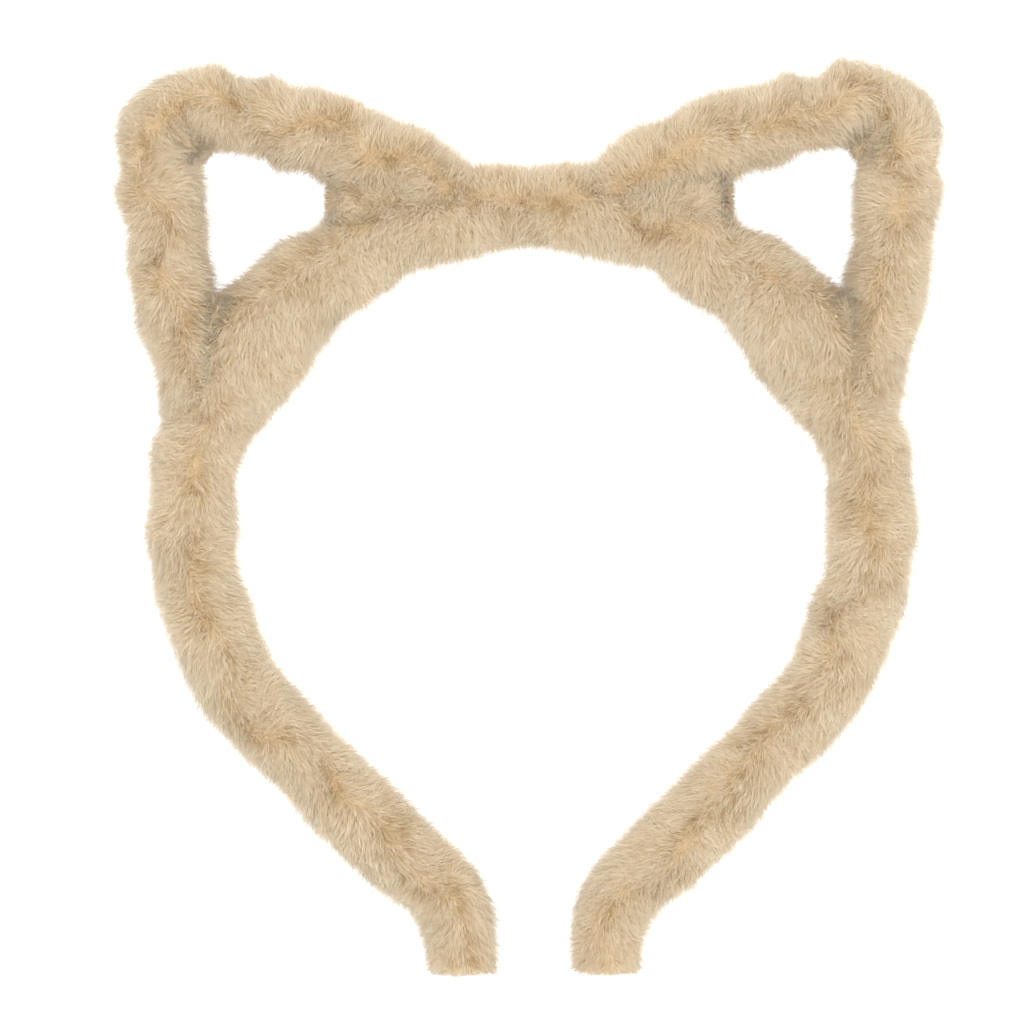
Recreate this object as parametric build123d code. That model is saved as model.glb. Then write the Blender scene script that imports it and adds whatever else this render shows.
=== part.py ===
from build123d import *
import math
import os

# A plush headband with two hollow cat ears, worn with its open side down.
# Frame: +X to the wearer's left, +Y towards the back of the head, +Z up.
# Left and right in the names are as seen from the front, so left is at -X.
# Origin: the middle of the crown's inner face, where it sits on the head.
# Millimetres and degrees. One side is modelled at -X and mirrored in the YZ plane.

# Plush radii: the outside of the pile when lightly pressed.
CROWN_PILE = 8.2
SHOULDER_PILE = 8.8
BRIDGE_PILE = 11.0
ARM_PILE = 8.8
TIP_PILE = 6.8
EAR_PILE = 8.7

# What the plush is drawn over.
CORE = 5.4
BORE = CORE + 0.05
WIRE = 0.8

# Hoop strip, bent to this centreline radius over the head.
HOOP_RADIUS = 74.7
HOOP_WIDE = 8.0
HOOP_THICK = 1.6
HOOP_CENTRE = (0, CROWN_PILE - HOOP_RADIUS)

# Below its widest point the hoop turns in, runs straight, and turns back to vertical.
LOWER_BEND = 48.0
TIP_BEND = 17.0
TURN = 45
TIP_CENTRE = 16.0
TIP_RUN = 6.0

# How far the core, the hoop and the cap stop short of the plush at a tip.
CORE_SHORT = 3.0
HOOP_SHORT = 4.0
CAP_LONG = 11.0
CAP_WIDE = 9.2
CAP_THICK = 3.2

# Places along the hoop, as angles about its centre from +X.
FLEX_AT = 90 + math.degrees(math.asin(14 / HOOP_RADIUS))
SHOULDER_END = 131.4
BRIDGE_END = 157.6

# The ear's centreline, as (x, z) corners: outer foot, tip, knee, inner foot.
EAR_CORNERS = [(-73.4, -38.0), (-84.5, 32.4), (-42.0, 24.4), (-10.0, 4.7)]
EAR_BENDS = [9.5, 25.0]
EAR_SEAM_Z = 18.0

# The line an ear folds along, from its outer leg to its inner leg.
FOLD_OUT = (-76.2, -16.9)
FOLD_IN = (-36.0, 20.6)
EAR_FOLD = 35

# The arms spring out past a head, and squeeze in until the tips nearly meet.
FLEX_OPEN = 20
FLEX_CLOSE = 1.5
HINGE_GAP = 0.2
HINGE_SPARE = 0.6

# Ear wire feet, along the outside of the hoop, and the tape that binds them.
FOOT_OFFSET = HOOP_THICK / 2 + WIRE + 0.15
OUTER_FOOT = (166, 172)
INNER_FOOT = (109.5, 102.5)
FOOT_BEND = 5.0
TAPE_LONG = 5.0
TAPE = 0.4

# Hand stitches.
THREAD = 0.35
STITCH = 3.0
SEAM_RING = 7.0
SEAM_STITCHES = 8
ROOT_STITCH_RING = 10.0
ROOT_STITCH_ANGLES = (143, 148, 153)
ROOT_STITCH_SIDES = (-40, 40)
TIP_STITCHES = 5
TIP_STITCH_STEP = 1.8

FAR = 60.0


def save(name, shape):
    """Writes one node to its own file."""
    export_step(shape, f"parts/{name}.step")
    print(f"{name}: {shape.volume / 1000:.2f} cm3")


def bundle(shapes):
    """Separate solids kept together in one node."""
    return Compound([solid for shape in shapes for solid in shape.solids()])


def on_hoop(angle, out=0.0):
    """A point (x, z) at an angle on the hoop's centreline, moved outward by out."""
    reach = HOOP_RADIUS + out
    x = HOOP_CENTRE[0] + reach * math.cos(math.radians(angle))
    z = HOOP_CENTRE[1] + reach * math.sin(math.radians(angle))
    return (x, z)


def upright(line):
    """Stands a line drawn in (x, z) up in the plane of the band."""
    return Plane.XZ * line


def hoop_arc(start, end):
    """The stretch of the hoop's round part between two angles."""
    return upright(CenterArc(HOOP_CENTRE, HOOP_RADIUS, start, end - start))


def band_path(start, tip_short=0.0, stop_at_bend=False):
    """The band's centreline from an angle on the hoop to short of the tip."""
    turn = math.radians(TURN)
    sideways = (LOWER_BEND + TIP_BEND) * (1 - math.cos(turn))
    run = (HOOP_RADIUS - TIP_CENTRE - sideways) / math.sin(turn)
    round_part = CenterArc(HOOP_CENTRE, HOOP_RADIUS, start, 180 - start)
    lower = JernArc(round_part @ 1, (0, -1), LOWER_BEND, TURN)
    straight = Line(lower @ 1, lower @ 1 + (lower % 1) * run)
    if stop_at_bend:
        return upright(Wire([round_part, lower, straight]))
    bend, tip = tip_lines(straight, tip_short)
    return upright(Wire([round_part, lower, straight, bend, tip]))


def tip_lines(straight, tip_short):
    """The bend and the short vertical run that end the band, after its straight."""
    bend = JernArc(straight @ 1, straight % 1, TIP_BEND, -TURN)
    tip = Line(bend @ 1, bend @ 1 + (bend % 1) * (TIP_RUN - tip_short))
    return bend, tip


def section_at(path, at):
    """The plane square to a path, with its own X across the band."""
    return Plane(origin=path @ at, x_dir=(0, 1, 0), z_dir=path % at)


def rod(path, section):
    """A section carried along a path."""
    return sweep(section_at(path, 0) * section, path=path)


def swollen(path, radii):
    """A round rod whose radius changes evenly along a path."""
    steps = len(radii) - 1
    return loft([section_at(path, i / steps) * Circle(r) for i, r in enumerate(radii)])


def slab(plane, size=2 * FAR):
    """Everything within reach on a plane's positive side."""
    return plane * Pos(0, 0, size / 2) * Box(size, size, size)


def flex_plane():
    """The plane across the band at the flex line: Z along the band, X outward."""
    x, z = on_hoop(FLEX_AT)
    angle = math.radians(FLEX_AT)
    outward = (math.cos(angle), 0, math.sin(angle))
    return Plane(origin=(x, 0, z), x_dir=outward, z_dir=(-outward[2], 0, outward[0]))


def flex_gap():
    """The room left for an arm to open and close about the flex line."""
    outer = HINGE_GAP + FAR / 2 * math.tan(math.radians(FLEX_OPEN / 2 + HINGE_SPARE))
    inner = HINGE_GAP + FAR / 2 * math.tan(math.radians(FLEX_CLOSE / 2 + HINGE_SPARE))
    outline = Polyline(
        (0, -HINGE_GAP),
        (FAR / 2, -outer),
        (FAR / 2, outer),
        (0, HINGE_GAP),
        (-FAR / 2, inner),
        (-FAR / 2, -inner),
        close=True,
    )
    across = flex_plane()
    profile = Plane(origin=across.origin, x_dir=across.x_dir, z_dir=(0, -1, 0))
    return extrude(profile * make_face(outline), amount=FAR / 2, both=True)


def fold_plane():
    """The plane an ear folds at: X along the fold line, Z towards the ear's tip."""
    dx = FOLD_IN[0] - FOLD_OUT[0]
    dz = FOLD_IN[1] - FOLD_OUT[1]
    middle = ((FOLD_IN[0] + FOLD_OUT[0]) / 2, 0, (FOLD_IN[1] + FOLD_OUT[1]) / 2)
    return Plane(origin=middle, x_dir=(dx, 0, dz), z_dir=(-dz, 0, dx))


def fold_gap():
    """The room left for an ear to fold forward and back."""
    wide = HINGE_GAP + FAR / 2 * math.tan(math.radians(EAR_FOLD / 2 + HINGE_SPARE))
    outline = Polyline(
        (-FAR / 2, wide),
        (0, HINGE_GAP),
        (FAR / 2, wide),
        (FAR / 2, -wide),
        (0, -HINGE_GAP),
        (-FAR / 2, -wide),
        close=True,
    )
    fold = fold_plane()
    profile = Plane(origin=fold.origin, x_dir=(0, 1, 0), z_dir=fold.x_dir)
    return extrude(profile * make_face(outline), amount=FAR, both=True)


def stitch_at(point, direction):
    """One stitch: a short length of thread with rounded ends."""
    half = STITCH / 2
    thread = Cylinder(THREAD, STITCH)
    for end in (-half, half):
        thread += Pos(0, 0, end) * Sphere(THREAD)
    return Plane(origin=point, z_dir=direction) * thread


def seam_ring(plane, radius, count=SEAM_STITCHES):
    """Stitches that cross a seam, spaced evenly round a sleeve."""
    found = []
    for i in range(count):
        angle = 2 * math.pi * (i + 0.5) / count
        point = plane.from_local_coords((radius * math.cos(angle), radius * math.sin(angle), 0))
        found.append(stitch_at(point, plane.z_dir))
    return bundle(found)


def root_stitches():
    """Stitches that hold the outer root of an ear down onto the side of the band."""
    found = []
    for angle in ROOT_STITCH_ANGLES:
        x, z = on_hoop(angle)
        cos, sin = math.cos(math.radians(angle)), math.sin(math.radians(angle))
        for side in ROOT_STITCH_SIDES:
            lean, swing = math.cos(math.radians(side)), math.sin(math.radians(side))
            direction = Vector(cos * lean, swing, sin * lean)
            point = Vector(x, 0, z) + direction * ROOT_STITCH_RING
            found.append(stitch_at(point, direction))
    return bundle(found)


def tip_stitches(path):
    """Stitches across the slit that closes the plush at a tip."""
    end = path @ 1
    found = []
    for i in range(TIP_STITCHES):
        x = end.X + (i - (TIP_STITCHES - 1) / 2) * TIP_STITCH_STEP
        found.append(stitch_at((x, 0, end.Z + THREAD + 0.2), (0, 1, 0)))
    return bundle(found)


def tape_round(angles, hoop, wire):
    """A turn of tape that binds a wire foot to the outside of the hoop."""
    middle = sum(angles) / 2
    x, z = on_hoop(middle)
    cos, sin = math.cos(math.radians(middle)), math.sin(math.radians(middle))
    place = Plane(origin=(x, 0, z), x_dir=(cos, 0, sin), z_dir=(-sin, 0, cos))
    low = -HOOP_THICK / 2 - TAPE
    high = FOOT_OFFSET + WIRE + TAPE
    block = Box(high - low, HOOP_WIDE + 2 * TAPE, TAPE_LONG)
    return place * Pos((low + high) / 2, 0, 0) * block - hoop - wire


def wire_foot(start, angles):
    """An ear wire's end, from a point on the ear down to along the hoop."""
    points = [start] + [on_hoop(a, FOOT_OFFSET) for a in angles]
    path = upright(FilletPolyline(*points, radius=FOOT_BEND))
    return rod(path, Circle(WIRE))


def hoop_section():
    """The hoop strip's section: its width lies across the band."""
    return Rectangle(HOOP_WIDE, HOOP_THICK)


def crown_pieces():
    """The middle of the band, between the two flex lines."""
    path = hoop_arc(180 - FLEX_AT, FLEX_AT)
    gap = flex_gap()
    gaps = gap + mirror(gap, about=Plane.YZ)
    hoop = rod(path, hoop_section())
    core = rod(path, Circle(CORE))
    sleeve = rod(path, Circle(CROWN_PILE)) - rod(path, Circle(BORE))
    return {
        "crown_hoop": hoop - gaps,
        "crown_padding": core - hoop - gaps,
        "crown_sleeve": sleeve - gaps,
    }


def side_pieces():
    """One arm of the band and its ear, at -X."""
    flex = flex_gap()
    fold = fold_gap()
    outside = slab(flex_plane())
    ear_side = slab(fold_plane())

    # The band's own rods.
    whole_path = band_path(FLEX_AT)
    core_path = band_path(FLEX_AT, CORE_SHORT)
    hoop_path = band_path(FLEX_AT, HOOP_SHORT)
    hoop = rod(hoop_path, hoop_section())
    core = rod(core_path, Circle(CORE))
    bore = rod(core_path, Circle(BORE))

    # The ear's own rods, foot to foot.
    ear_path = upright(FilletPolyline(*EAR_CORNERS, radius=EAR_BENDS))
    ear_pile = rod(ear_path, Circle(EAR_PILE))
    inside_hoop = upright(Pos(*HOOP_CENTRE) * Cylinder(HOOP_RADIUS, FAR))
    ear_core = rod(ear_path, Circle(CORE)) - inside_hoop
    ear_bore = rod(ear_path, Circle(BORE)) - inside_hoop
    ear_wire = rod(ear_path, Circle(WIRE)) & ear_side

    # The wire's feet leave the ear at the fold line.
    feet = [wire_foot(FOLD_OUT, OUTER_FOOT), wire_foot(FOLD_IN, INNER_FOOT)]
    feet = [foot - ear_side - fold - hoop for foot in feet]
    both_feet = feet[0] + feet[1]
    tapes = [tape_round(a, hoop, both_feet) for a in (OUTER_FOOT, INNER_FOOT)]
    bound = both_feet + tapes[0] + tapes[1]

    # The cap on the hoop's end.
    end = section_at(core_path, 1)
    cap = end * Pos(0, 0, -CAP_LONG / 2) * Box(CAP_WIDE, CAP_THICK, CAP_LONG)
    cap = cap & core

    # Plush over the band, in four lengths.
    shoulder_path = hoop_arc(FLEX_AT, SHOULDER_END)
    bridge_path = hoop_arc(SHOULDER_END, BRIDGE_END)
    arm_path = band_path(BRIDGE_END, stop_at_bend=True)
    shoulder = rod(shoulder_path, Circle(SHOULDER_PILE))
    bridge = swollen(bridge_path, [SHOULDER_PILE, BRIDGE_PILE, BRIDGE_PILE, ARM_PILE])
    arm = rod(arm_path, Circle(ARM_PILE)) + tip_plush()

    # The roots of the ear's two legs, below the fold line.
    roots = ear_pile - ear_side
    middle = slab(Plane(origin=((FOLD_IN[0] + FOLD_OUT[0]) / 2, 0, 0), z_dir=(1, 0, 0)))
    inner_root = roots & middle & outside
    outer_root = roots - middle - bridge - arm - shoulder
    root_core = (ear_core & outside) - ear_side - bore - fold - flex - bridge - arm - bound

    # Stitches.
    ring_planes = [section_at(bridge_path, 0), section_at(bridge_path, 1)]
    band_seams = bundle([seam_ring(plane, SEAM_RING) for plane in ring_planes])
    roots_sewn = root_stitches()
    tip_sewn = tip_stitches(whole_path)
    ear_seam_plane = seam_plane(ear_path)
    ear_sewn = seam_ring(ear_seam_plane, SEAM_RING)

    shoulder = shoulder + (inner_root - bridge)
    shoulder = shoulder - bore - ear_bore - flex - fold - band_seams - bound
    bridge = bridge - bore - band_seams - roots_sewn - bound
    arm = arm - bore - band_seams - tip_sewn - bound
    outer_root = outer_root - ear_bore - fold - roots_sewn - bound

    # The ear itself, above the fold line.
    ear_sleeve = (ear_pile & ear_side) - ear_bore - fold - ear_sewn
    leg_wide = 2 * EAR_PILE + 2
    leg_side = ear_seam_plane * Pos(0, 0, -FAR) * Box(leg_wide, leg_wide, 2 * FAR)

    return {
        "arm_hoop": hoop - flex,
        "arm_padding": core - hoop - flex - bound - cap,
        "shoulder_sleeve": shoulder,
        "bridge_sleeve": bridge,
        "arm_sleeve": arm,
        "outer_root_sleeve": outer_root,
        "root_padding": root_core,
        "ear_wire_feet": bundle(feet),
        "foot_bindings": bundle(tapes),
        "tip_cap": cap - hoop,
        "tip_stitches": tip_sewn,
        "band_seams": band_seams,
        "root_stitches": roots_sewn,
        "ear_wire": ear_wire - fold,
        "ear_padding": (ear_core & ear_side) - fold - ear_wire,
        "ear_leg_sleeve": ear_sleeve & leg_side,
        "ear_top_sleeve": ear_sleeve - leg_side,
        "ear_seam": ear_sewn,
    }


def tip_plush():
    """The plush round a tip, which narrows to its closed end."""
    straight = band_path(BRIDGE_END, stop_at_bend=True)
    start = straight @ 1
    heading = straight % 1
    line = Line((start.X - heading.X, start.Z - heading.Z), (start.X, start.Z))
    bend, tip = tip_lines(line, 0.0)
    path = upright(Wire([bend, tip]))
    middle = (ARM_PILE + TIP_PILE) / 2
    return swollen(path, [ARM_PILE, middle + 0.3, middle, TIP_PILE])


def seam_plane(ear_path):
    """Where the ear's leg sleeve meets its top sleeve, square to the leg."""
    (foot_x, foot_z), (tip_x, tip_z) = EAR_CORNERS[:2]
    part = (EAR_SEAM_Z - foot_z) / (tip_z - foot_z)
    x = foot_x + part * (tip_x - foot_x)
    return Plane(origin=(x, 0, EAR_SEAM_Z), x_dir=(0, 1, 0), z_dir=ear_path % 0)


os.makedirs("parts", exist_ok=True)

for name, shape in crown_pieces().items():
    save(name, shape)

for name, shape in side_pieces().items():
    save(f"{name}_left", shape)
    save(f"{name}_right", mirror(shape, about=Plane.YZ))
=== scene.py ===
import bpy
import math
import numpy as np
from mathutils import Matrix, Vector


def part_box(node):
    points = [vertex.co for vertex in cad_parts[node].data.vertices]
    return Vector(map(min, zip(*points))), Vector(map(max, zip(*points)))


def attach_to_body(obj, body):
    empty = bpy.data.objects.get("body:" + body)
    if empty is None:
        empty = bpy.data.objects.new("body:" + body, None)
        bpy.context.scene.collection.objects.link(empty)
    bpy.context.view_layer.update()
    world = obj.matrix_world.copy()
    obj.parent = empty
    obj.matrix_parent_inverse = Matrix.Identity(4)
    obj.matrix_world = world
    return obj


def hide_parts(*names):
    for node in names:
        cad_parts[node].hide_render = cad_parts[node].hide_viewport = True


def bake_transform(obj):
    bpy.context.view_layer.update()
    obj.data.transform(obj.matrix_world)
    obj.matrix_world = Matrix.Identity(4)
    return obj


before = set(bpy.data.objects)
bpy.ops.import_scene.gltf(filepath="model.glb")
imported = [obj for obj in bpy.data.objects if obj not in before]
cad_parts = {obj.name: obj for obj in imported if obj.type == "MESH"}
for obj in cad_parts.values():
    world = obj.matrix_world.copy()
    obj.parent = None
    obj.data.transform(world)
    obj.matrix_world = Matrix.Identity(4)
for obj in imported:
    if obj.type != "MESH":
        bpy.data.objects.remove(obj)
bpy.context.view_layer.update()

# Lengths are millimetres until a mesh is made; angles are degrees.
MM = 0.001
STEP = 0.5

# The band's shape below its widest point.
LOWER_BEND = 48.0
TIP_BEND = 17.0
TURN = 45
TIP_RUN = 6.0

# The ear's centreline, as (x, z) corners: inner foot, knee, tip, outer foot.
EAR_CORNERS = [(-10.0, 4.7), (-42.0, 24.4), (-84.5, 32.4), (-73.4, -38.0)]
EAR_BENDS = [25.0, 9.5]

# How far the pile reaches from the band's centreline, by distance from the crown:
# (distance, outward, inward, towards the front and back).
BAND_PILE = [
    (0, 9.4, 8.7, 8.9),
    (8, 10.8, 9.5, 9.2),
    (16, 10.6, 10.2, 9.4),
    (24, 10.2, 9.7, 9.4),
    (31, 11.4, 8.3, 9.4),
    (38, 12.6, 10.4, 9.4),
    (44, 10.3, 10.8, 9.6),
    (52, 12.6, 9.8, 10.2),
    (60, 12.8, 11.2, 10.8),
    (67, 14.4, 12.8, 11.0),
    (75, 13.0, 12.0, 10.8),
    (84, 12.8, 10.8, 10.2),
    (90, 10.4, 8.9, 9.6),
    (97, 12.0, 7.9, 9.4),
    (106, 9.8, 9.4, 9.6),
    (114, 10.4, 10.5, 9.8),
    (122, 8.8, 10.4, 9.8),
    (134, 8.6, 11.6, 9.8),
    (143, 9.0, 10.8, 9.6),
    (151, 10.0, 9.2, 9.4),
    (162, 10.3, 8.8, 9.2),
    (170, 9.8, 7.7, 9.2),
    (187, 10.9, 8.7, 9.2),
    (200, 10.6, 8.2, 8.8),
    (212, 8.8, 9.0, 8.2),
    (221, 8.8, 8.2, 7.6),
    (229, 6.4, 7.6, 7.0),
]

# The same round the ear, from its inner foot to its outer foot.
EAR_PILE = [
    (0, 7.0, 4.8, 7.6),
    (10, 10.0, 7.2, 9.2),
    (22, 11.4, 9.6, 9.6),
    (30, 9.2, 11.0, 9.6),
    (37, 9.8, 10.6, 9.4),
    (43, 9.4, 9.6, 9.4),
    (49, 9.2, 9.8, 9.4),
    (54, 10.6, 8.2, 9.4),
    (60, 8.0, 8.0, 9.4),
    (66, 11.0, 9.8, 9.4),
    (73, 9.4, 9.2, 9.6),
    (79, 9.6, 9.2, 9.6),
    (85, 6.6, 11.6, 9.6),
    (91, 9.8, 10.6, 9.4),
    (100, 8.9, 9.8, 9.4),
    (108, 9.7, 8.9, 9.4),
    (114, 9.8, 9.2, 9.4),
    (120, 9.4, 9.4, 9.6),
    (132, 7.6, 9.2, 9.8),
    (143.2, 7.2, 6.6, 8.4),
]

# The web of plush that fills the hole's narrow inner corner, along its own centreline.
WEB_RUN = ((-15.0, 8.0), (-42.6, 9.6))
WEB_PILE = [
    (0, 5.5, 5.5, 7.6),
    (10, 7.0, 7.0, 8.8),
    (20, 9.0, 8.6, 9.0),
    (27.6, 8.2, 7.2, 7.6),
]
WEB_DOME = 1.4

# The same behind the rounded inner corner of the ear's tip.
NOOK_RUN = ((-80.5, 28.6), (-72.6, 20.3))
NOOK_PILE = [
    (0, 6.4, 6.4, 8.8),
    (6, 6.2, 6.2, 9.4),
    (11.4, 4.8, 4.8, 8.6),
]
NOOK_DOME = 1.2

# And at the bottom of the hole, between the ear's outer leg and the band.
FORK_RUN = ((-70.8, -20.0), (-67.3, -11.9))
FORK_PILE = [
    (0, 4.2, 4.2, 7.6),
    (4, 4.4, 4.6, 8.0),
    (8.8, 3.8, 4.2, 7.6),
]
FORK_DOME = 1.2

# The backing lies this far under the pile's envelope, but over the foam core where
# there is one, and no nearer the centreline than the least reach.
PILE = 3.0
OVER_CORE = 0.35
LEAST = 1.5

# Strands: how long, the most faces in a piece, and the sizes of locks, tufts and specks.
STRAND_LONG = 3.2
MOST_FACES = 190000
LOCK = 2.1
TUFT = 7.5
SPECK = 1.6

# How much higher than the rest, on average, the strands that stand free of it are, and
# the most, as a multiple of that.
PROUD = 1.45
MOST_PROUD = 2.6

# How far a tube's rounded end stands past its centreline's end.
END_DOMES = {"band": 0.9, "ear": 1.5, "web": WEB_DOME, "nook": NOOK_DOME, "fork": FORK_DOME}

# The middle shade of the strands on a tube's end, painted darker than the sides' as painted shade,
# and darker still on the small fillers' ends, which lie deeper in the crevices between tubes.
END_PAINTED_SHADES = {"band": 0.50, "ear": 0.50, "web": 0.26, "nook": 0.34, "fork": 0.34}

# How far the shading of the strands near a tube's end turns to face along the tube,
# from 0 to 1, over this far on each side of the end.
END_TURNS = {"band": 0.1, "ear": 0.6, "web": 1.0, "nook": 1.0, "fork": 1.0}
END_SOFT = 3.0

# How far a strand's shading follows the plush under it, from 0 to 1.
SOFTNESS = 0.85

# Kinds of strand: how many per square millimetre, root radius, stages as (how far
# along, how high), length and height beside the full pile, how far they gather in
# locks, how far they stray, and how free they stand of the surface they lie along.
KINDS = {
    "pile": {
        "density": 4.4,
        "wide": 0.056,
        "stages": ((0.0, -0.12), (0.45, 0.66), (1.0, 1.0)),
        "length": 1.20,
        "height": 0.92,
        "gather": 0.7,
        "stray": 0.32,
        "free": 0.45,
    },
    "under": {
        "density": 6.4,
        "wide": 0.085,
        "stages": ((0.0, -0.10), (1.0, 1.0)),
        "length": 0.90,
        "height": 0.78,
        "gather": 0.1,
        "stray": 0.46,
        "free": 0.0,
    },
    "fuzz": {
        "density": 10.0,
        "wide": 0.036,
        "stages": ((0.0, 0.25), (1.0, 1.0)),
        "length": 0.95,
        "height": 0.88,
        "gather": 0.3,
        "stray": 0.52,
        "free": 1.0,
    },
}


def spec(node):
    """A CAD node's lowest and highest corners, in millimetres."""
    low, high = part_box(node)
    return np.array(low) / MM, np.array(high) / MM


def half_depth(node):
    """Half of a CAD node's size from front to back."""
    low, high = spec(node)
    return (high[1] - low[1]) / 2


CORE = half_depth("arm_padding_left")
CROWN_HIGH = half_depth("crown_sleeve")
HOOP_RADIUS = -spec("arm_padding_left")[0][0] - CORE
TIP_CENTRE = -(spec("tip_cap_left")[0][0] + spec("tip_cap_left")[1][0]) / 2


def side_of(name):
    """-1 for the left, 1 for the right."""
    return -1 if name == "left" else 1


# ---- centrelines ----

def trace(start, heading, moves):
    """Points (x, z) and headings along runs and arcs, each (length, turn)."""
    points = [np.array(start, float)]
    headings = [math.radians(heading)]
    for length, turn in moves:
        count = max(1, round(length / STEP))
        for _ in range(count):
            middle = headings[-1] + math.radians(turn) / count / 2
            step = np.array([math.cos(middle), math.sin(middle)]) * length / count
            points.append(points[-1] + step)
            headings.append(headings[-1] + math.radians(turn) / count)
    return np.array(points), np.array(headings)


def band_moves():
    """The left half of the band, from the crown's middle to the tip."""
    turn = math.radians(TURN)
    sideways = (LOWER_BEND + TIP_BEND) * (1 - math.cos(turn))
    run = (HOOP_RADIUS - TIP_CENTRE - sideways) / math.sin(turn)
    return [
        (HOOP_RADIUS * math.pi / 2, 90),
        (LOWER_BEND * turn, TURN),
        (run, 0),
        (TIP_BEND * turn, -TURN),
        (TIP_RUN, 0),
    ]


def corner_moves(corners, bends):
    """Runs and arcs round a list of corners, and the first heading."""
    corners = [np.array(c) for c in corners]
    ways = [b - a for a, b in zip(corners, corners[1:])]
    headings = [math.degrees(math.atan2(w[1], w[0])) for w in ways]
    turns = [(b - a) % 360 for a, b in zip(headings, headings[1:])]
    cuts = [r * math.tan(math.radians(t / 2)) for r, t in zip(bends, turns)]
    moves = []
    for i, way in enumerate(ways):
        before = cuts[i - 1] if i > 0 else 0
        after = cuts[i] if i < len(cuts) else 0
        moves.append((np.linalg.norm(way) - before - after, 0))
        if i < len(cuts):
            moves.append((bends[i] * math.radians(turns[i]), turns[i]))
    return headings[0], moves


def smooth(x, edges, values):
    """Values between control points, easing in and out of each."""
    edges = np.array(edges, float)
    values = np.array(values, float)
    i = np.clip(np.searchsorted(edges, x) - 1, 0, len(edges) - 2)
    t = np.clip((x - edges[i]) / (edges[i + 1] - edges[i]), 0, 1)
    t = t * t * (3 - 2 * t)
    return values[i] * (1 - t) + values[i + 1] * t


class Tube:
    """A plush tube of the left side, and the map from (along, round, out) to space."""

    def __init__(self, start, heading, moves, pile, cored):
        self.points, self.headings = trace(start, heading, moves)
        self.cored = cored
        gaps = np.linalg.norm(np.diff(self.points, axis=0), axis=1)
        self.along = np.concatenate([[0], np.cumsum(gaps)])
        self.long = self.along[-1]
        self.pile = np.array(pile, float)

    def centre(self, s):
        """The centreline at a distance, carried straight on past its ends."""
        first = (self.points[1] - self.points[0]) / self.along[1]
        last = (self.points[-1] - self.points[-2]) / (self.long - self.along[-2])
        before = np.minimum(s, 0)
        after = np.maximum(s - self.long, 0)
        x = np.interp(s, self.along, self.points[:, 0]) + before * first[0] + after * last[0]
        z = np.interp(s, self.along, self.points[:, 1]) + before * first[1] + after * last[1]
        return np.stack([x, np.zeros_like(x), z], axis=-1)

    def outward(self, s):
        heading = np.interp(s, self.along, self.headings)
        zero = np.zeros_like(heading)
        return np.stack([np.sin(heading), zero, -np.cos(heading)], axis=-1)

    def end_way(self):
        """The direction in which the tube ends."""
        way = self.points[-1] - self.points[-2]
        return np.array([way[0], 0, way[1]]) / np.linalg.norm(way)

    def envelope(self, s):
        """Outward, inward and front-to-back reach of the pile."""
        return [smooth(s, self.pile[:, 0], self.pile[:, k]) for k in (1, 2, 3)]

    def reach(self, s):
        """Outward, inward and front-to-back reach of the backing."""
        least = np.where((s > self.cored[0]) & (s < self.cored[1]), CORE + OVER_CORE, LEAST)
        return [np.maximum(part - PILE, least) for part in self.envelope(s)]

    def depth(self, s, round_):
        """How deep the pile is at a place round the tube."""
        outer, inner, deep = (a - b for a, b in zip(self.envelope(s), self.reach(s)))
        sine, cosine = np.sin(round_), np.cos(round_)
        side = np.where(sine > 0, outer, inner)
        return side * sine ** 2 + deep * cosine ** 2

    def normal(self, s, round_):
        """The backing's outward direction at a place round the tube."""
        outer, inner, deep = self.reach(s)
        flat = (outer + inner) / 2
        sideways = (np.sin(round_) * deep)[..., None]
        forward = (np.cos(round_) * flat)[..., None]
        way = self.outward(s) * sideways + np.array([0, -1, 0]) * forward
        return way / np.linalg.norm(way, axis=-1)[..., None]

    def place(self, s, round_, out):
        """Points at distance s, angle round the tube from the front, and height."""
        outer, inner, deep = self.reach(s)
        flat = (outer + inner) / 2 + out
        shift = (outer - inner) / 2
        normal = self.outward(s)
        sideways = (shift + flat * np.sin(round_))[..., None]
        forward = ((deep + out) * np.cos(round_))[..., None]
        return self.centre(s) + normal * sideways + np.array([0, -1, 0]) * forward

    def depth_inside(self, p):
        """How far points are inside the backing; negative outside."""
        best = np.full(len(p), np.inf)
        at = np.zeros(len(p), int)
        for i in range(0, len(self.points), 3):
            d = (p[:, 0] - self.points[i, 0]) ** 2 + (p[:, 2] - self.points[i, 1]) ** 2
            nearer = d < best
            best = np.where(nearer, d, best)
            at = np.where(nearer, i, at)
        s = self.along[at]
        outer, inner, deep = self.reach(s)
        offset = ((p - self.centre(s)) * self.outward(s)).sum(-1)
        offset = offset - (outer - inner) / 2
        flat = (outer + inner) / 2
        level = np.sqrt((offset / flat) ** 2 + (p[:, 1] / deep) ** 2)
        inside = (1 - level) * flat
        past_end = ((at <= 1) | (at >= len(self.points) - 4)) & (best > flat ** 2)
        return np.where(past_end, -1.0, inside)


# The lengths that have the foam core inside them, from and to.
EVERYWHERE = (-1, 999)
EAR_CORED = (14, 126)
NOWHERE = (-1, -1)

BAND = Tube((0, CROWN_HIGH), 180, band_moves(), BAND_PILE, EVERYWHERE)
EAR = Tube(EAR_CORNERS[0], *corner_moves(EAR_CORNERS, EAR_BENDS), EAR_PILE, EAR_CORED)
WEB = Tube(WEB_RUN[0], *corner_moves(WEB_RUN, []), WEB_PILE, NOWHERE)
NOOK = Tube(NOOK_RUN[0], *corner_moves(NOOK_RUN, []), NOOK_PILE, NOWHERE)
FORK = Tube(FORK_RUN[0], *corner_moves(FORK_RUN, []), FORK_PILE, NOWHERE)


# ---- fields over the plush ----

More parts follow.
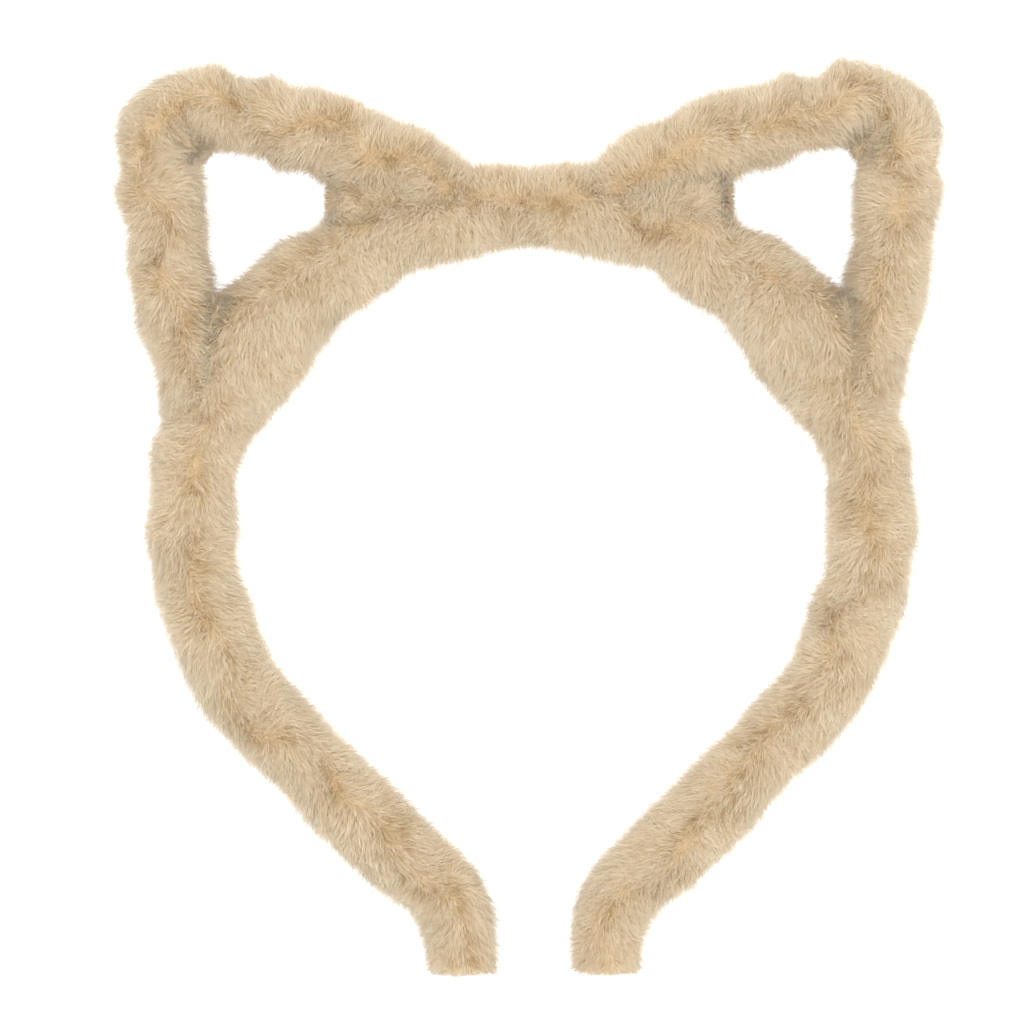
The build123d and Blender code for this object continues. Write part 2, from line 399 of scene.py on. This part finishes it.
def waves(seed, scale, count=7):
    """A smooth random field of (along, across) with features about scale long."""
    rng = np.random.default_rng(seed)
    angle = rng.uniform(0, 2 * math.pi, count)
    pitch = 2 * math.pi / (scale * rng.uniform(1.3, 3.2, count))
    phase = rng.uniform(0, 2 * math.pi, count)

    def field(s, across):
        total = 0
        for a, k, p in zip(angle, pitch, phase):
            total = total + np.sin(k * (math.cos(a) * s + math.sin(a) * across) + p)
        return total / math.sqrt(count / 2)

    return field


def ease(x, low, high):
    t = np.clip((x - low) / (high - low), 0, 1)
    return t * t * (3 - 2 * t)


# How the plush is combed: millimetres round a tube in a radian; how far its parting
# wanders, in degrees, and how wide it is, in radians; where the back of a tube begins
# and is full; and how far the strands swerve, in radians.
ROUND = 9
WANDER = 13
WIGGLE = 8
PARTING_HALF = 0.16
BACK = (2.5, 3.1)
SWIRL = 0.34
DRIFT = 0.22


class Coat:
    """How the plush of one tube is combed. Angles in radians, but degrees in its lists.

    Parting, lean and height are lists of (distance, value): where the pile parts, how
    far it leans along the tube, and how long it is beside the full length. Swirl, drift,
    wander and bulk are random fields, made with their features' size.
    """

    def __init__(self, tube, seed, sign, parting, lean, height):
        self.tube = tube
        self.sign = sign
        self.parting = np.array(parting, float)
        self.lean = np.array(lean, float)
        self.height = np.array(height, float)
        self.swirl = waves(seed, 9.0)
        self.drift = waves(seed + 1, 5.0)
        self.wander = waves(seed + 2, 14.0)
        self.bulk = waves(seed + 3, 6.0)
        self.seed = seed

    def parting_at(self, s):
        """Where the pile parts on the front, as an angle round the tube."""
        middle = smooth(s, self.parting[:, 0], self.parting[:, 1])
        at = s * self.sign
        return np.radians(middle + WANDER * self.wander(at, 0) + WIGGLE * self.swirl(at, 3))

    def comb(self, s, round_):
        """The way the pile lies: how far along and how far round, as a unit pair."""
        across = round_ * ROUND
        at = s * self.sign
        off = (round_ - self.parting_at(s) + math.pi) % (2 * math.pi) - math.pi
        side = np.tanh(off / PARTING_HALF)
        lean = np.radians(smooth(s, self.lean[:, 0], self.lean[:, 1]))
        back = ease(np.abs(off), *BACK)
        lean = lean + (math.pi / 2 - lean) * back
        swerve = SWIRL * self.swirl(at, across) + DRIFT * self.drift(at, across)
        lean = lean + self.sign * swerve
        return np.sin(lean), np.cos(lean) * side, np.abs(off)


def locks(coat, s, round_, size, seed):
    """The lock that each strand belongs to: its root and a random number for it."""
    reach = float(ROUND)
    cells = np.stack([s * coat.sign / size, round_ * reach / size], axis=-1)
    cells = np.floor(cells).astype(int)
    s = s * coat.sign
    best = np.full(len(s), np.inf)
    root_s = np.zeros(len(s))
    root_r = np.zeros(len(s))
    chance = np.zeros(len(s))
    for di in (-1, 0, 1):
        for dj in (-1, 0, 1):
            i = cells[:, 0] + di
            j = cells[:, 1] + dj
            h = hashed(i, j, seed)
            cs = (i + hashed(i, j, seed + 1)) * size
            cr = (j + hashed(i, j, seed + 2)) * size / reach
            d = (s - cs) ** 2 + ((round_ - cr) * reach) ** 2
            nearer = d < best
            best = np.where(nearer, d, best)
            root_s = np.where(nearer, cs, root_s)
            root_r = np.where(nearer, cr, root_r)
            chance = np.where(nearer, h, chance)
    return root_s * coat.sign, root_r, chance


def hashed(i, j, seed):
    """A repeatable number from 0 to 1 for a cell."""
    x = np.sin(i * 127.1 + j * 311.7 + seed * 74.7) * 43758.5453
    return x - np.floor(x)


# How strands differ: how much each follows its lock's comb, and the share of that by
# which it is drawn to the lock's root; how much of the full height and length it has;
# how far from its place it takes its comb; and how far a lock turns it.
PULL = (0.1, 0.5)
DRAWN = 0.5
HEIGHTS = (0.66, 1.08)
LONGS = (0.65, 1.15)
COMB_SPREAD = 0.16
LOCK_TURN = 0.8

# How much the lumps, a strand's tuft and its lock add to its height.
BULK_HIGH = 0.10
TUFT_HIGH = 0.16
LOCK_HIGH = 0.18

# How much lower the free strands start, before they stand proud.
FREE_LOW = 0.20

# The pile near the parting: how near, in radians, and how much shorter it is there.
NEAR = 0.22
SHORTER = 0.3

# The dark specks: how far from the parting they spread, in radians; how many strands in
# a speck are dark, how dark those and the rest are; how dark specks are further away;
# and where the fields of drift and of specks begin and end to give them.
SPECKS_NEAR = 0.50
DARK_SHARE = 0.5
DARK = 0.70
NOT_DARK = 0.06
FAR_DARK = 0.14
DARK_PATCHES = (-0.7, 0.8)
NEAR_SPECKS = (0.25, 0.55)
FAR_SPECKS = (0.6, 0.9)

# The middle shade of a strand, and how far its lock, its tuft, chance and the lumps
# move it, the lumps' share being painted light and shade, paler on the high lumps
# and darker in the dips; and the darkest and the palest shade.
MIDDLE_SHADE = 0.62
LOCK_SHADE = 0.30
TUFT_SHADE = 0.10
CHANCE_SHADE = 0.15
LUMP_PAINTED_SHADE = 0.03
SHADES = (0.03, 0.97)


def strands(coat, s, round_, rng, kind):
    """Points along each strand, as (along, round, height), and its shade."""
    tube = coat.tube
    count = len(s)
    gather = kind["gather"]
    free = kind["free"]
    lock_s, lock_r, chance = locks(coat, s, round_, LOCK, coat.seed)
    _, _, tuft = locks(coat, s, round_, TUFT, coat.seed + 7)
    _, _, speck = locks(coat, s, round_, SPECK, coat.seed + 13)
    bulk = coat.bulk(s * coat.sign, round_ * ROUND)
    drift = coat.drift(s * coat.sign, round_ * ROUND)
    pull = rng.uniform(*PULL, count) * gather
    down, around, off = coat.comb(s, round_ + rng.normal(0, COMB_SPREAD, count))
    lock_down, lock_around, _ = coat.comb(lock_s, lock_r)
    down = down * (1 - pull) + lock_down * pull
    around = around * (1 - pull) + lock_around * pull
    turn = rng.normal(0, kind["stray"], count) + LOCK_TURN * (chance - 0.5) * gather
    down, around = (down * np.cos(turn) - around * np.sin(turn),
                    down * np.sin(turn) + around * np.cos(turn))
    near = np.exp(-(off / NEAR) ** 2)
    tall = smooth(s, coat.height[:, 0], coat.height[:, 1])
    swell = 1 + BULK_HIGH * bulk + TUFT_HIGH * (tuft - 0.5) + LOCK_HIGH * (chance - 0.5)
    rise = tube.depth(s, round_) * swell * rng.uniform(*HEIGHTS, count) * kind["height"]
    proud = PROUD * np.minimum(rng.exponential(1, count), MOST_PROUD)
    rise = rise * (1 - FREE_LOW * free) + proud * free
    long = STRAND_LONG * tall * rng.uniform(*LONGS, count) * (1 - SHORTER * near)
    long = long * kind["length"]
    outer, _, deep = tube.reach(s)
    radius = (deep + outer) / 2 + PILE
    points = []
    for t, up in kind["stages"]:
        drawn = pull * DRAWN * t
        across = around * long * t
        curved = across / radius
        straight = np.arctan2(across, radius)
        turn = round_ + curved + (straight - curved) * free
        lifted = (np.hypot(radius, across) - radius) * free
        at = s + down * long * t + (lock_s - s) * drawn
        turn = turn + (lock_r - round_) * drawn
        points.append((at, turn, rise * up + lifted))
    shade = MIDDLE_SHADE + LOCK_SHADE * (chance - 0.5) + TUFT_SHADE * (tuft - 0.5)
    shade = shade + rng.normal(0, CHANCE_SHADE, count)
    patch = ease(drift, *DARK_PATCHES) * ease(speck, *NEAR_SPECKS)
    wide_near = np.exp(-(off / SPECKS_NEAR) ** 2)
    speckle = np.where(rng.random(count) < DARK_SHARE, DARK, NOT_DARK)
    specks = wide_near * patch + FAR_DARK * ease(speck, *FAR_SPECKS)
    # Painted light and shade: strands on the high lumps are paler, those in the dips darker.
    shade = shade - speckle * specks + LUMP_PAINTED_SHADE * bulk
    return points, np.clip(shade, *SHADES)


# ---- meshes ----

def new_mesh(name, points, faces, uvs=None):
    """A piece from arrays: points in millimetres, triangles or quads, UVs by vertex."""
    mesh = bpy.data.meshes.new(name)
    sides = faces.shape[1]
    mesh.vertices.add(len(points))
    mesh.vertices.foreach_set("co", (points * MM).astype(np.float32).ravel())
    mesh.loops.add(faces.size)
    mesh.loops.foreach_set("vertex_index", faces.astype(np.int32).ravel())
    mesh.polygons.add(len(faces))
    mesh.polygons.foreach_set("loop_start", np.arange(0, faces.size, sides, dtype=np.int32))
    if uvs is not None:
        layer = mesh.uv_layers.new(name="OFBake")
        layer.data.foreach_set("uv", uvs[faces.ravel()].astype(np.float32).ravel())
    mesh.update(calc_edges=True)
    mesh.validate()
    mesh.shade_smooth()
    piece = bpy.data.objects.new(name, mesh)
    bpy.context.scene.collection.objects.link(piece)
    return piece


# How strands' widths differ, how much narrower each stage is, and how far a strand's
# three sides differ in shade.
WIDTHS = (0.75, 1.25)
TAPER = 0.12
SIDE_SHADE = 0.012


def strand_mesh(name, rings, ways, shade, wide, mirror):
    """Closed, tapering strands: triangles along each one, and a point at its tip.

    Each strand is shaded partly as the plush under it, as a soft pile is.
    """
    flip = np.array([-1, 1, 1]) if mirror else np.array([1, 1, 1])
    rings = [r * flip for r in rings]
    ways = ways * flip
    count = len(shade)
    levels = len(rings) - 1
    each = 3 * levels + 1
    rng = np.random.default_rng(len(name) + count)
    way = rings[-1] - rings[0]
    way = way / np.linalg.norm(way, axis=1)[:, None]
    side = np.cross(way, rng.normal(size=(count, 3)))
    side = side / np.linalg.norm(side, axis=1)[:, None]
    other = np.cross(way, side)
    wide = wide * rng.uniform(*WIDTHS, count)[:, None]
    points = np.zeros((count, each, 3))
    normals = np.zeros((count, each, 3))
    uvs = np.zeros((count, each, 2))
    for level in range(levels):
        for k in range(3):
            at = 3 * level + k
            angle = 2 * math.pi * k / 3
            spoke = side * math.cos(angle) + other * math.sin(angle)
            points[:, at] = rings[level] + spoke * wide * (1 - TAPER * level)
            normals[:, at] = spoke * (1 - SOFTNESS) + ways * SOFTNESS
            uvs[:, at, 0] = shade + SIDE_SHADE * (k - 1)
            uvs[:, at, 1] = 0.01 + 0.98 * level / levels
    points[:, -1] = rings[-1]
    normals[:, -1] = ways
    uvs[:, -1, 0] = shade
    uvs[:, -1, 1] = 0.99
    faces = [(2, 1, 0)]
    for level in range(levels):
        low = 3 * level
        for k in range(3):
            n = (k + 1) % 3
            if level < levels - 1:
                faces += [(low + k, low + n, low + 3 + n), (low + k, low + 3 + n, low + 3 + k)]
            else:
                faces.append((low + k, low + n, each - 1))
    faces = np.array(faces)[None] + each * np.arange(count)[:, None, None]
    piece = new_mesh(name, points.reshape(-1, 3), faces.reshape(-1, 3), uvs.reshape(-1, 2))
    normals = normals.reshape(-1, 3)
    normals = normals / np.linalg.norm(normals, axis=1)[:, None]
    piece.data.normals_split_custom_set_from_vertices(normals)
    return piece


# The backing's mesh: how far apart its rows are, how many columns it has, how high its
# lumps are, and where the rings of a rounded end lie, as shares of a quarter turn.
ROW = 0.8
COLUMNS = 72
LUMPS = 0.18
FINE_LUMPS = 0.14
DOME_RINGS = (0.35, 0.65, 0.85)


def backing_mesh(name, coat, start, end, mirror, caps):
    """The dense under-pile, as a closed tube between two distances."""
    tube = coat.tube
    rows = max(3, int((end - start) / ROW))
    cols = COLUMNS
    s, turn = np.meshgrid(
        np.linspace(start, end, rows + 1),
        np.linspace(-math.pi, math.pi, cols, endpoint=False),
        indexing="ij",
    )
    at = s * coat.sign
    lumps = LUMPS * coat.bulk(at, turn * ROUND)
    lumps = lumps + FINE_LUMPS * coat.drift(at * 2, turn * 2 * ROUND)
    points = tube.place(s, turn, lumps).reshape(-1, 3)
    faces = []
    for i in range(rows):
        row = np.arange(cols)
        nxt = (row + 1) % cols
        faces.append(np.stack([i * cols + row, (i + 1) * cols + row,
                               (i + 1) * cols + nxt, i * cols + nxt], axis=-1))
    faces = np.concatenate(faces)
    uvs = np.stack([(s - start) / (end - start), turn / (2 * math.pi) + 0.5], axis=-1)
    uvs = uvs.reshape(-1, 2)
    points, faces, uvs = add_caps(points, faces, uvs, rows, cols, caps)
    if mirror:
        points = points * np.array([-1, 1, 1])
        faces = faces[:, ::-1]
    return new_mesh(name, points, faces, uvs)


def add_caps(points, faces, uvs, rows, cols, caps):
    """Closes both ends of a tube, each with a dome as high as caps says."""
    for end, (row, dome) in enumerate(zip((0, rows), caps)):
        ring = points[row * cols:(row + 1) * cols]
        middle = ring.mean(axis=0)
        inner = points[(1 if end == 0 else rows - 1) * cols:][:cols].mean(axis=0)
        way = (middle - inner) / np.linalg.norm(middle - inner)
        rings = [row * cols + np.arange(cols)]
        for t in DOME_RINGS:
            shrunk = middle + (ring - middle) * math.cos(t * math.pi / 2)
            shrunk = shrunk + way * dome * math.sin(t * math.pi / 2)
            rings.append(len(points) + np.arange(cols))
            points = np.concatenate([points, shrunk])
            uvs = np.concatenate([uvs, np.full((cols, 2), 0.5)])
        last = len(points)
        points = np.concatenate([points, (middle + way * dome)[None]])
        uvs = np.concatenate([uvs, [[0.5, 0.5]]])
        nxt = np.roll(np.arange(cols), -1)
        for a, b in zip(rings, rings[1:]):
            quad = np.stack([a, a[nxt], b[nxt], b], axis=-1)
            faces = np.concatenate([faces, quad if end == 0 else quad[:, ::-1]])
        tip = rings[-1]
        quads = []
        for k in range(0, cols, 2):
            quads.append([tip[k], tip[(k + 1) % cols], tip[(k + 2) % cols], last])
        quads = np.array(quads)
        faces = np.concatenate([faces, quads if end == 0 else quads[:, ::-1]])
    return points, faces, uvs


# ---- materials ----

def new_material(name):
    material = bpy.data.materials.new(name)
    material.use_nodes = True
    nodes = material.node_tree.nodes
    return material, nodes, material.node_tree.links, nodes["Principled BSDF"]


def ramp(nodes, stops):
    """A colour ramp with stops (place, colour)."""
    node = nodes.new("ShaderNodeValToRGB")
    elements = node.color_ramp.elements
    while len(elements) < len(stops):
        elements.new(0.5)
    for element, (place, colour) in zip(elements, stops):
        element.position = place
        element.color = (*colour, 1)
    return node


def mixed(nodes, links, kind, factor, first, second):
    node = nodes.new("ShaderNodeMix")
    node.data_type = "RGBA"
    node.blend_type = kind
    node.inputs["Factor"].default_value = factor
    links.new(first, node.inputs["A"])
    links.new(second, node.inputs["B"])
    return node.outputs["Result"]


def strand_material():
    """Light tan strands: darker at the root, paler to the tip, each a little different."""
    material, nodes, links, shader = new_material("plush_strands")
    uv = nodes.new("ShaderNodeUVMap")
    uv.uv_map = "OFBake"
    split = nodes.new("ShaderNodeSeparateXYZ")
    links.new(uv.outputs["UV"], split.inputs["Vector"])
    length = ramp(nodes, [
        (0.0, (0.86, 0.62, 0.36)),
        (0.30, (0.88, 0.695, 0.45)),
        (0.70, (0.885, 0.755, 0.56)),
        (1.0, (0.875, 0.79, 0.66)),
    ])
    shade = ramp(nodes, [
        (0.0, (0.57, 0.45, 0.29)),
        (0.30, (0.85, 0.775, 0.64)),
        (0.62, (0.99, 0.97, 0.94)),
        (1.0, (1.0, 1.0, 1.0)),
    ])
    links.new(split.outputs["Y"], length.inputs["Fac"])
    links.new(split.outputs["X"], shade.inputs["Fac"])
    colour = mixed(nodes, links, "MULTIPLY", 1.0, length.outputs["Color"], shade.outputs["Color"])
    links.new(colour, shader.inputs["Base Color"])
    shader.inputs["Roughness"].default_value = 0.72
    shader.inputs["Specular IOR Level"].default_value = 0.25
    shader.inputs["Sheen Weight"].default_value = 0.25
    shader.inputs["Sheen Roughness"].default_value = 0.6
    return material


def cloth_material(name, dark, light, scale, rough=0.85, bump=0.3):
    """A fine, uneven fibrous surface in two close colours."""
    material, nodes, links, shader = new_material(name)
    place = nodes.new("ShaderNodeTexCoord")
    noise = nodes.new("ShaderNodeTexNoise")
    noise.inputs["Scale"].default_value = scale
    noise.inputs["Detail"].default_value = 8
    noise.inputs["Roughness"].default_value = 0.65
    links.new(place.outputs["Object"], noise.inputs["Vector"])
    colours = ramp(nodes, [(0.3, dark), (0.7, light)])
    links.new(noise.outputs["Fac"], colours.inputs["Fac"])
    links.new(colours.outputs["Color"], shader.inputs["Base Color"])
    raised = nodes.new("ShaderNodeBump")
    raised.inputs["Strength"].default_value = bump
    raised.inputs["Distance"].default_value = 0.0003
    links.new(noise.outputs["Fac"], raised.inputs["Height"])
    links.new(raised.outputs["Normal"], shader.inputs["Normal"])
    shader.inputs["Roughness"].default_value = rough
    return material


# ---- the plush ----

# The small tubes between the others: tube, seed, and the distance where their lean is full.
FILLERS = {"web": (WEB, 51, 25), "nook": (NOOK, 71, 10), "fork": (FORK, 91, 8)}


def coats(side):
    """Each tube's plush, as one side wears it."""
    band = Coat(
        BAND, 11, side_of(side),
        parting=[(0, 5), (20, 20), (45, 30), (60, 42), (80, 30), (96, 0), (150, 0), (232, 4)],
        lean=[(0, 0), (20, 12), (60, 38), (100, 36), (150, 44), (215, 46), (232, 60)],
        height=[(0, 0.72), (20, 0.9), (50, 1.05), (75, 1.1), (200, 1.0), (225, 0.8), (232, 0.75)],
    )
    ear = Coat(
        EAR, 31, side_of(side),
        parting=[(0, 0), (20, 6), (60, 0), (78, 10), (100, 0), (143.2, -20)],
        lean=[(0, 5), (30, 18), (55, 30), (78, 8), (95, 30), (143.2, 46)],
        height=[(0, 0.9), (60, 1.0), (120, 1.0), (143.2, 0.9)],
    )
    worn = {"band": band, "ear": ear}
    for name, (tube, seed, end) in FILLERS.items():
        lean = [(0, 50), (end, 60)]
        worn[name] = Coat(tube, seed, side_of(side), [(0, 0), (end, 0)], lean, [(0, 0.9), (end, 0.9)])
    return worn


def attach(piece, side, how):
    """Gives a piece its body; the crown's and the folds' pieces stay where they are, their transform
    applied.
    """
    if how == "crown":
        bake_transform(piece)
    elif how == "fold":
        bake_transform(piece)
    else:
        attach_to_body(piece, f"{side}_{how}")


# Lengths of plush: name, tube, start, end, how it moves, nodes it stands for.
LENGTHS = [
    ("crown", "band", 0.0, 26.0, "crown", ["crown_sleeve"]),
    ("shoulder", "band", 26.0, 56.0, "arm", ["shoulder_sleeve"]),
    ("bridge", "band", 56.0, 87.0, "arm", ["bridge_sleeve"]),
    ("arm_upper", "band", 87.0, 130.0, "arm", ["arm_sleeve"]),
    ("arm_lower", "band", 130.0, 178.0, "arm", []),
    ("arm_end", "band", 178.0, BAND.long, "arm", []),
    ("web_root", "web", 0.0, 9.0, "crown", []),
    ("web", "web", 9.0, WEB.long, "arm", []),
    ("nook", "nook", 0.0, NOOK.long, "ear", []),
    ("fork", "fork", 0.0, FORK.long, "arm", []),
    ("ear_inner_root", "ear", 0.0, 14.0, "crown", []),
    ("ear_inner_fold", "ear", 14.0, 47.0, "fold", []),
    ("ear_upper", "ear", 47.0, 68.0, "ear", ["ear_top_sleeve"]),
    ("ear_tip", "ear", 68.0, 86.5, "ear", []),
    ("ear_leg", "ear", 86.5, 108.0, "ear", ["ear_leg_sleeve"]),
    ("ear_outer_fold", "ear", 108.0, EAR.long, "fold", ["outer_root_sleeve"]),
]


def scatter(coat, start, end, density, rng):
    """Strand roots over a length of plush, evenly by area."""
    reach = coat.tube.reach((start + end) / 2)
    area = (end - start) * 2 * math.pi * (sum(reach) / 3 + PILE / 2)
    count = int(area * density)
    s = rng.uniform(start, end, count)
    round_ = rng.uniform(-math.pi, math.pi, count)
    return s, round_


# Strands rooted more than this deep in another tube's backing are left out.
BURIED = 0.4


def hidden(coat, points):
    """Roots that lie inside another tube's backing."""
    found = np.zeros(len(points), bool)
    for other in (BAND, EAR, WEB, NOOK, FORK):
        if other is not coat.tube:
            found |= other.depth_inside(points) > BURIED
    return found


def make_strands(name, side, coat, start, end, end_turn, seed, material):
    """The strands of one length, in as many pieces as their number needs."""
    made = []
    for word, kind in KINDS.items():
        seed += 1
        rng = np.random.default_rng(seed)
        s, round_ = scatter(coat, start, end, kind["density"], rng)
        root = coat.tube.place(s, round_, np.zeros_like(s))
        seen = ~hidden(coat, root)
        s, round_ = s[seen], round_[seen]
        path, shade = strands(coat, s, round_, rng, kind)
        rings = [coat.tube.place(at, turn, up) for at, turn, up in path]
        ways = coat.tube.normal(path[-1][0], path[-1][1])
        past = ease(path[-1][0], coat.tube.long - END_SOFT, coat.tube.long + END_SOFT)
        past = past[:, None] * end_turn
        ways = ways * (1 - past) + coat.tube.end_way() * past
        faces = 6 * (len(kind["stages"]) - 1) - 2
        parts = math.ceil(len(s) * faces / MOST_FACES)
        for part in range(parts):
            low = start + (end - start) * part / parts
            high = start + (end - start) * (part + 1) / parts
            mine = (s >= low) & (s < high)
            title = f"{name}_{word}_{part + 1}_{side}"
            picked = [r[mine] for r in rings]
            piece = strand_mesh(title, picked, ways[mine], shade[mine], kind["wide"],
                                side == "right")
            piece.data.materials.append(material)
            made.append(piece)
    return made


# The strands on a rounded end: how many per square millimetre, how wide at the root, how
# long at most and as shares of it, how much shorter in the middle, how deep they are
# rooted, how much they hang on along the tube, how far they stray, and how far their
# shades differ.
END_PER_MM2 = 12.0
END_WIDE = 0.075
END_LONG = 2.4
END_LONGS = (0.3, 1.3)
END_SHORTER = 0.25
END_DEEP = 0.3
END_HANG = 0.7
END_STRAY = 0.30
END_CHANCE = 0.16


def make_end(name, side, coat, rounded, painted_middle_shade, seed, material):
    """The strands over a tube's rounded end, which stand past it like a fringe."""
    tube = coat.tube
    rng = np.random.default_rng(seed)
    at = tube.long
    outer, inner, deep = (float(r) for r in tube.reach(np.array(at)))
    count = int(math.pi * (outer + inner) / 2 * deep * END_PER_MM2)
    round_ = rng.uniform(-math.pi, math.pi, count)
    out = np.sqrt(rng.uniform(0, 1, count))
    s = np.full(count, at)
    centre = tube.centre(s) + tube.outward(s) * (outer - inner) / 2
    rim = tube.place(s, round_, np.zeros(count)) - centre
    down = tube.end_way()
    edge = rim / np.linalg.norm(rim, axis=1)[:, None]
    flat = np.sqrt(1 - out ** 2)
    root = centre + rim * out[:, None] + (rounded * flat - END_DEEP)[:, None] * down
    ways = edge * out[:, None] + down * flat[:, None]
    way = ways + END_HANG * down + rng.normal(0, END_STRAY, (count, 3))
    way = way / np.linalg.norm(way, axis=1)[:, None]
    long = END_LONG * rng.uniform(*END_LONGS, count)[:, None] * (1 - END_SHORTER * flat)[:, None]
    tip = root + way * long
    # Painted shade: the end's strands are darker than the sides', most of all on the fillers in the
    # crevices.
    shade = np.clip(painted_middle_shade + rng.normal(0, END_CHANCE, count), *SHADES)
    piece = strand_mesh(f"{name}_{side}", [root, tip], ways, shade, END_WIDE, side == "right")
    piece.data.materials.append(material)
    return piece


# Each length of plush has this many seeds of its own, one for each set of strands.
FIRST_SEED = 100
SEEDS_EACH = 10


def make_plush():
    strand_look = strand_material()
    backing_look = cloth_material("plush_backing", (0.74, 0.54, 0.30), (0.80, 0.61, 0.37), 900)
    # A darker copy of the backing: painted shade for the small fillers in the crevices between tubes.
    painted_shade_backing_look = cloth_material("plush_backing_painted_shade", (0.50, 0.37, 0.23), (0.62, 0.47, 0.31), 900)
    seed = FIRST_SEED
    for side in ("left", "right"):
        right = side == "right"
        worn = coats(side)
        for name, tube, start, end, how, nodes in LENGTHS:
            coat = worn[tube]
            seed += SEEDS_EACH
            at_tip = end == coat.tube.long
            dome = END_DOMES[tube] if at_tip else 0.0
            skin = backing_mesh(f"{name}_backing_{side}", coat, start, end, right, (0.0, dome))
            # The fillers take the darker copy of the backing, as painted shade.
            deep = tube in FILLERS
            skin.data.materials.append(painted_shade_backing_look if deep else backing_look)
            attach(skin, side, how)
            for node in nodes:
                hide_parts(node if node == "crown_sleeve" else f"{node}_{side}")
            pieces = make_strands(name, side, coat, start, end, END_TURNS[tube], seed,
                                  strand_look)
            if at_tip:
                pieces.append(make_end(f"{name}_end", side, coat, dome, END_PAINTED_SHADES[tube],
                                       seed + SEEDS_EACH - 1, strand_look))
            for piece in pieces:
                attach(piece, side, how)


# ---- what shows of the CAD parts ----

def dress_cad():
    """Materials for the pieces inside the plush."""
    looks = {
        "padding": cloth_material("foam", (0.80, 0.74, 0.60), (0.92, 0.87, 0.75), 1500),
        "hoop": cloth_material("hoop_plastic", (0.74, 0.71, 0.64), (0.80, 0.77, 0.70), 60, 0.4, 0.05),
        "wire": cloth_material("wire_steel", (0.40, 0.40, 0.41), (0.55, 0.55, 0.56), 400, 0.35, 0.1),
        "bindings": cloth_material("tape", (0.76, 0.72, 0.64), (0.86, 0.83, 0.76), 900),
        "cap": cloth_material("cap_rubber", (0.05, 0.045, 0.04), (0.08, 0.075, 0.07), 300, 0.7, 0.15),
        "stitches": cloth_material("thread", (0.50, 0.37, 0.22), (0.62, 0.48, 0.31), 2500),
    }
    looks["seam"] = looks["stitches"]
    for name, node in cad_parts.items():
        for word, look in looks.items():
            if word in name:
                node.data.materials.clear()
                node.data.materials.append(look)


# ---- light and camera ----

WORLD_STRENGTH = 1.45

# The camera's view, in metres: its width, its middle, and how far away the camera is;
# and its roll, in degrees.
VIEW_WIDE = 0.2243
VIEW_X = -0.00426
VIEW_Z = -0.0585
CAMERA_AWAY = 1.6
CAMERA_ROLL = 0.35


def add_light(name, place, size, power, aim):
    data = bpy.data.lights.new(name, "AREA")
    data.shape = "DISK"
    data.size = size
    data.energy = power
    lamp = bpy.data.objects.new(name, data)
    bpy.context.scene.collection.objects.link(lamp)
    lamp.location = place
    way = np.array(aim) - np.array(place)
    flat = math.hypot(way[0], way[1])
    lamp.rotation_euler = (math.atan2(flat, -way[2]), 0, math.atan2(-way[0], way[1]))


def light_scene():
    world = bpy.data.worlds.new("studio")
    bpy.context.scene.world = world
    world.use_nodes = True
    sky = world.node_tree.nodes["Background"]
    sky.inputs["Color"].default_value = (1, 1, 1, 1)
    sky.inputs["Strength"].default_value = WORLD_STRENGTH
    middle = (0, 0, VIEW_Z)
    add_light("key", (-0.5, -1.0, 0.45), 0.9, 3.2, middle)
    add_light("fill", (0.7, -0.9, -0.45), 0.9, 2.6, middle)
    add_light("back", (0.1, 0.9, 0.6), 0.8, 3.0, middle)


def place_camera():
    data = bpy.data.cameras.new("camera")
    data.sensor_width = 36
    data.lens = 36 * CAMERA_AWAY / VIEW_WIDE
    data.clip_start = 0.05
    data.clip_end = 30
    camera = bpy.data.objects.new("camera", data)
    bpy.context.scene.collection.objects.link(camera)
    camera.location = (VIEW_X, -CAMERA_AWAY, VIEW_Z)
    camera.rotation_euler = (math.pi / 2, math.radians(CAMERA_ROLL), 0)
    bpy.context.scene.camera = camera


make_plush()
dress_cad()
light_scene()
place_camera()
bpy.context.scene.view_settings.view_transform = "Standard"
